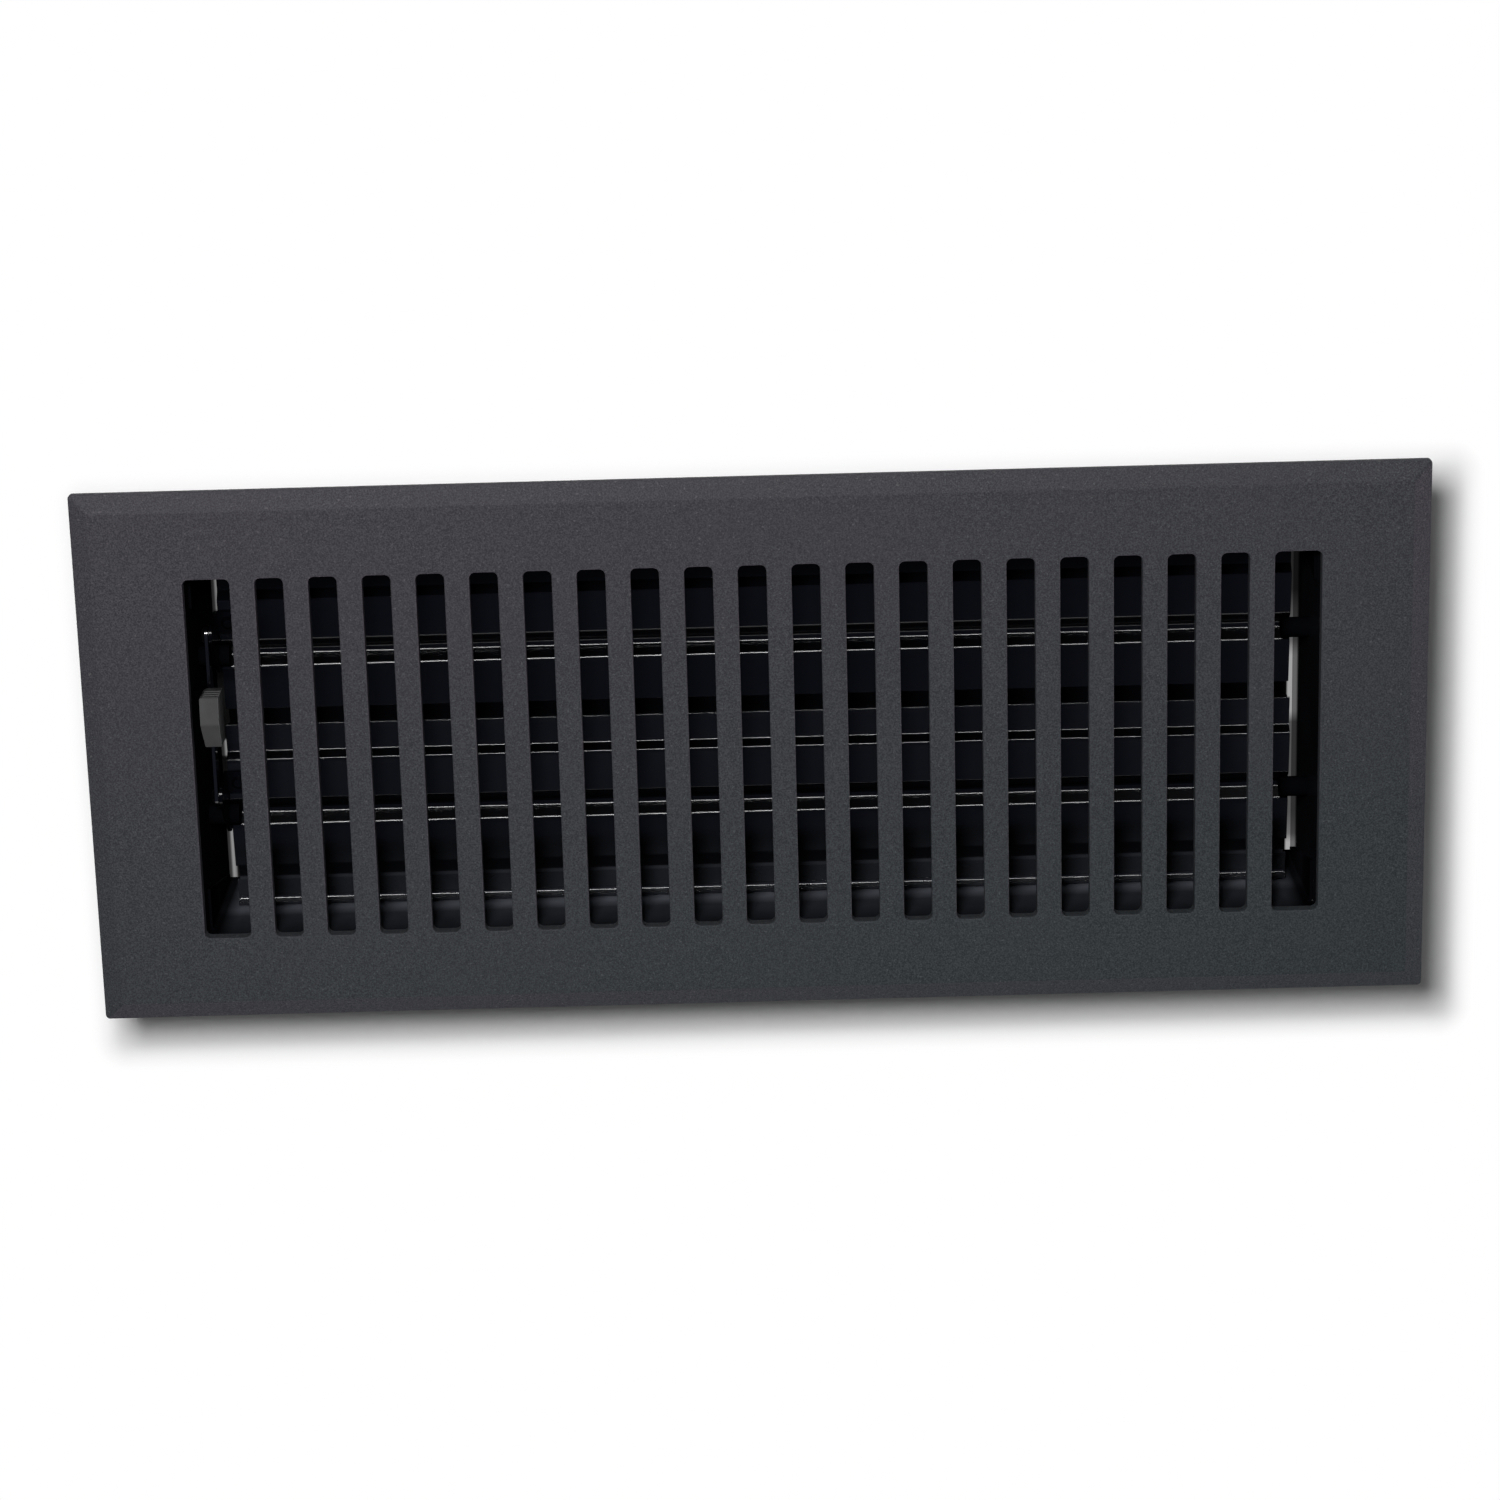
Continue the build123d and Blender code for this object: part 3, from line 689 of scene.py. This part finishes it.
def floor_material():
    """White floor: plain where the object's shadow falls, pure white to the eye beyond it."""
    mat, tree, out = tree_of("white_floor")
    where = node(tree, "ShaderNodeTexCoord").outputs["Object"]
    apart = vector(tree, "ABSOLUTE", vector(tree, "SUBTRACT", where, SHADOW_MIDDLE))
    past = vector(tree, "MAXIMUM", vector(tree, "SUBTRACT", apart, SHADOW_HALF), (0.0, 0.0, 0.0))
    beyond = remap(tree, vector(tree, "LENGTH", past), *SHADOW_FADE, 0.0, 1.0, "SMOOTHSTEP")
    floor_shader(tree, out, where, 0.96, 0.98, 1.0, beyond)
    return mat


def shade_and_light_floor_material():
    """Floor inside the box's rim: painted deep shade, with painted pools of light that glow to the eye and
    in reflections along each end wall.
    """
    mat, tree, out = tree_of("painted_shade_and_light_floor")
    where = node(tree, "ShaderNodeTexCoord").outputs["Object"]
    axes = node(tree, "ShaderNodeSeparateXYZ", {0: where})
    x, y = axes.outputs["X"], axes.outputs["Y"]
    # painted light: glowing pools along the end walls
    right = combine(tree, remap(tree, x, *RIGHT_LIGHT_POOL, 0.0, 1.0), through_stops(tree, y, RIGHT_LIGHT_POOL_PATCHES))
    left = combine(tree, through_stops(tree, x, LEFT_LIGHT_POOL), through_stops(tree, y, LEFT_LIGHT_POOL_PATCHES))
    # painted shade: the floor inside the rim is near black, and its painted pools of light glow to the eye
    # and in reflections
    floor_shader(tree, out, where, 0.010, 0.014, LIGHT_POOL_TONE, combine(tree, right, left, "MAXIMUM"))
    return mat


def flat_stage(name, half_x, half_y, z, material):
    """Flat rectangle of the stage."""
    bm = bmesh.new()
    bmesh.ops.create_grid(bm, x_segments=8, y_segments=8, size=1.0)
    bmesh.ops.scale(bm, vec=(half_x, half_y, 1.0), verts=bm.verts)
    bmesh.ops.translate(bm, vec=(0.0, 0.0, z), verts=bm.verts)
    mesh = bpy.data.meshes.new(name)
    bm.to_mesh(mesh)
    bm.free()
    mesh.materials.append(material)
    made = bpy.data.objects.new(name, mesh)
    bpy.context.scene.collection.objects.link(made)


def build_world():
    """Studio surround: pale near the horizon, dim overhead, dark behind the lamps.

    Its light on matte surfaces is weaker and neutral.
    """
    world = bpy.data.worlds.new("studio")
    bpy.context.scene.world = world
    world.use_nodes = True
    tree = world.node_tree
    tree.nodes.clear()
    out = tree.nodes.new("ShaderNodeOutputWorld")
    where = node(tree, "ShaderNodeTexCoord").outputs["Generated"]
    axes = node(tree, "ShaderNodeSeparateXYZ", {0: where})
    level = remap(tree, axes.outputs["Z"], *HORIZON_FADE, 1.0, 0.0, "SMOOTHSTEP")
    behind = remap(tree, axes.outputs["Y"], *BEHIND_FADE, 0.0, 1.0, "SMOOTHSTEP")
    look = blend_colors(tree, behind, blend_colors(tree, level, OVERHEAD, HORIZON), BEHIND)
    fill = blend_colors(tree, level, grey(FILL_OVERHEAD), grey(FILL_HORIZON))
    color = blend_colors(tree, seen_directly(tree), fill, look)
    sky = node(tree, "ShaderNodeBackground", {"Color": color, "Strength": 1.0})
    tree.links.new(sky.outputs[0], out.inputs["Surface"])


def build_camera():
    """Camera at the photograph's angle."""
    data = bpy.data.cameras.new("photo_camera")
    data.sensor_width = CAMERA_SENSOR
    data.lens = CAMERA_LENS
    data.clip_start = CAMERA_NEAR
    camera = bpy.data.objects.new("photo_camera", data)
    camera.location = CAMERA_PLACE
    camera.rotation_mode = "QUATERNION"
    camera.rotation_quaternion = Quaternion(CAMERA_TURN)
    bpy.context.scene.collection.objects.link(camera)
    bpy.context.scene.camera = camera


coat = powder_coat()
paint = black_paint("black_paint", GLOSS_ROUGH, GLOSS_SHINE, "X", CLEAN)
dull_paint = black_paint("dull_paint", GLOSS_ROUGH, DULL_SHINE, "X", CLEAN)
pin_paint = black_paint("pin_paint", MATTE_ROUGH, 0.0, "X", TRACE, outer_axis="X")
left_wall_paint = black_paint("left_wall_paint", MATTE_ROUGH, 0.0, "X", FAINT, outer_axis="X")
right_wall_paint = black_paint("right_wall_paint", MIRROR_ROUGH, MIRROR_SHINE, "X", FAINT, outer_axis="X")
# blades: painted light and shade across their width through the pale film's stops
back_blade_paint = black_paint(
    "back_blade_paint", DRAWN_ROUGH, BACK_BLADE_SHINE, "Y", BACK_BLADE_DUST_AND_SHADE, drawn=DRAWN)
front_blade_paint = black_paint(
    "front_blade_paint", DRAWN_ROUGH, GLOSS_SHINE, "Y", FRONT_BLADE_PAINTED_LIGHT_AND_SHADE, drawn=DRAWN)
# side walls: painted light low on the wall, and painted shade toward their ends
wall_paint = black_paint(
    "wall_paint", WALL_ROUGH, 0.0, "Z", WALL_PAINTED_LIGHT, shade_ends=WALL_PAINTED_SHADE_ENDS, outer_axis="Y")
zinc = zinc_steel("zinc_steel", *ZINC_TONES)
dull_zinc = zinc_steel("dull_zinc", *DULL_ZINC_TONES)
plastic = knob_plastic()

plate = faceplate_piece(coat)
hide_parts("faceplate")
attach(plate, "register")

SHEET_NODES = {
    "end_wall_left": ("register", SHEET_EDGE, left_wall_paint),
    "end_wall_right": ("register", SHEET_EDGE, right_wall_paint),
    "side_wall_back": ("register", SHEET_EDGE, wall_paint),
    "side_wall_front": ("register", SHEET_EDGE, wall_paint),
    "blade_back": ("back_blade", SHEET_EDGE, back_blade_paint),
    "blade_front": ("front_blade", SHEET_EDGE, front_blade_paint),
    "crank_back": ("back_blade", SHEET_EDGE, dull_paint),
    "crank_front": ("front_blade", SHEET_EDGE, dull_paint),
    "link_bar": ("lever", LINK_EDGE, paint),
}
for node_name, (body, width, finish) in SHEET_NODES.items():
    rim = BACK_RIM_R if node_name.startswith("blade") else 0.0
    sheet = softened(node_name + "_sheet", node_name, width, finish, rim)
    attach(sheet, body)

for body, pivot_y, finish in (
        ("back_blade", PIVOT_Y, back_blade_paint), ("front_blade", -PIVOT_Y, front_blade_paint)):
    fillet = lip_fillet(body + "_lip_fillet", pivot_y, finish)
    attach(fillet, body)

knob = softened("lever_knob_cap", "lever_knob", KNOB_EDGE, plastic)
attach(knob, "lever")

SMALL_PARTS = {"pivot_pin": pin_paint, "foot_rivet": dull_paint, "crank_pin": dull_zinc, "screw": zinc}
for node_name in frame["nodes"]:
    for start, finish in SMALL_PARTS.items():
        if node_name.startswith(start):
            finish_node(node_name, finish)

flat_stage("studio_floor", FLOOR_HALF, FLOOR_HALF, 0.0, floor_material())
flat_stage("painted_shade_floor", DUCT_HALF_L, DUCT_HALF_W, DUCT_LIFT, shade_and_light_floor_material())
build_world()
for lamp_values in LAMPS:
    area_light(*lamp_values)
build_camera()

bpy.context.scene.view_settings.view_transform = "Standard"
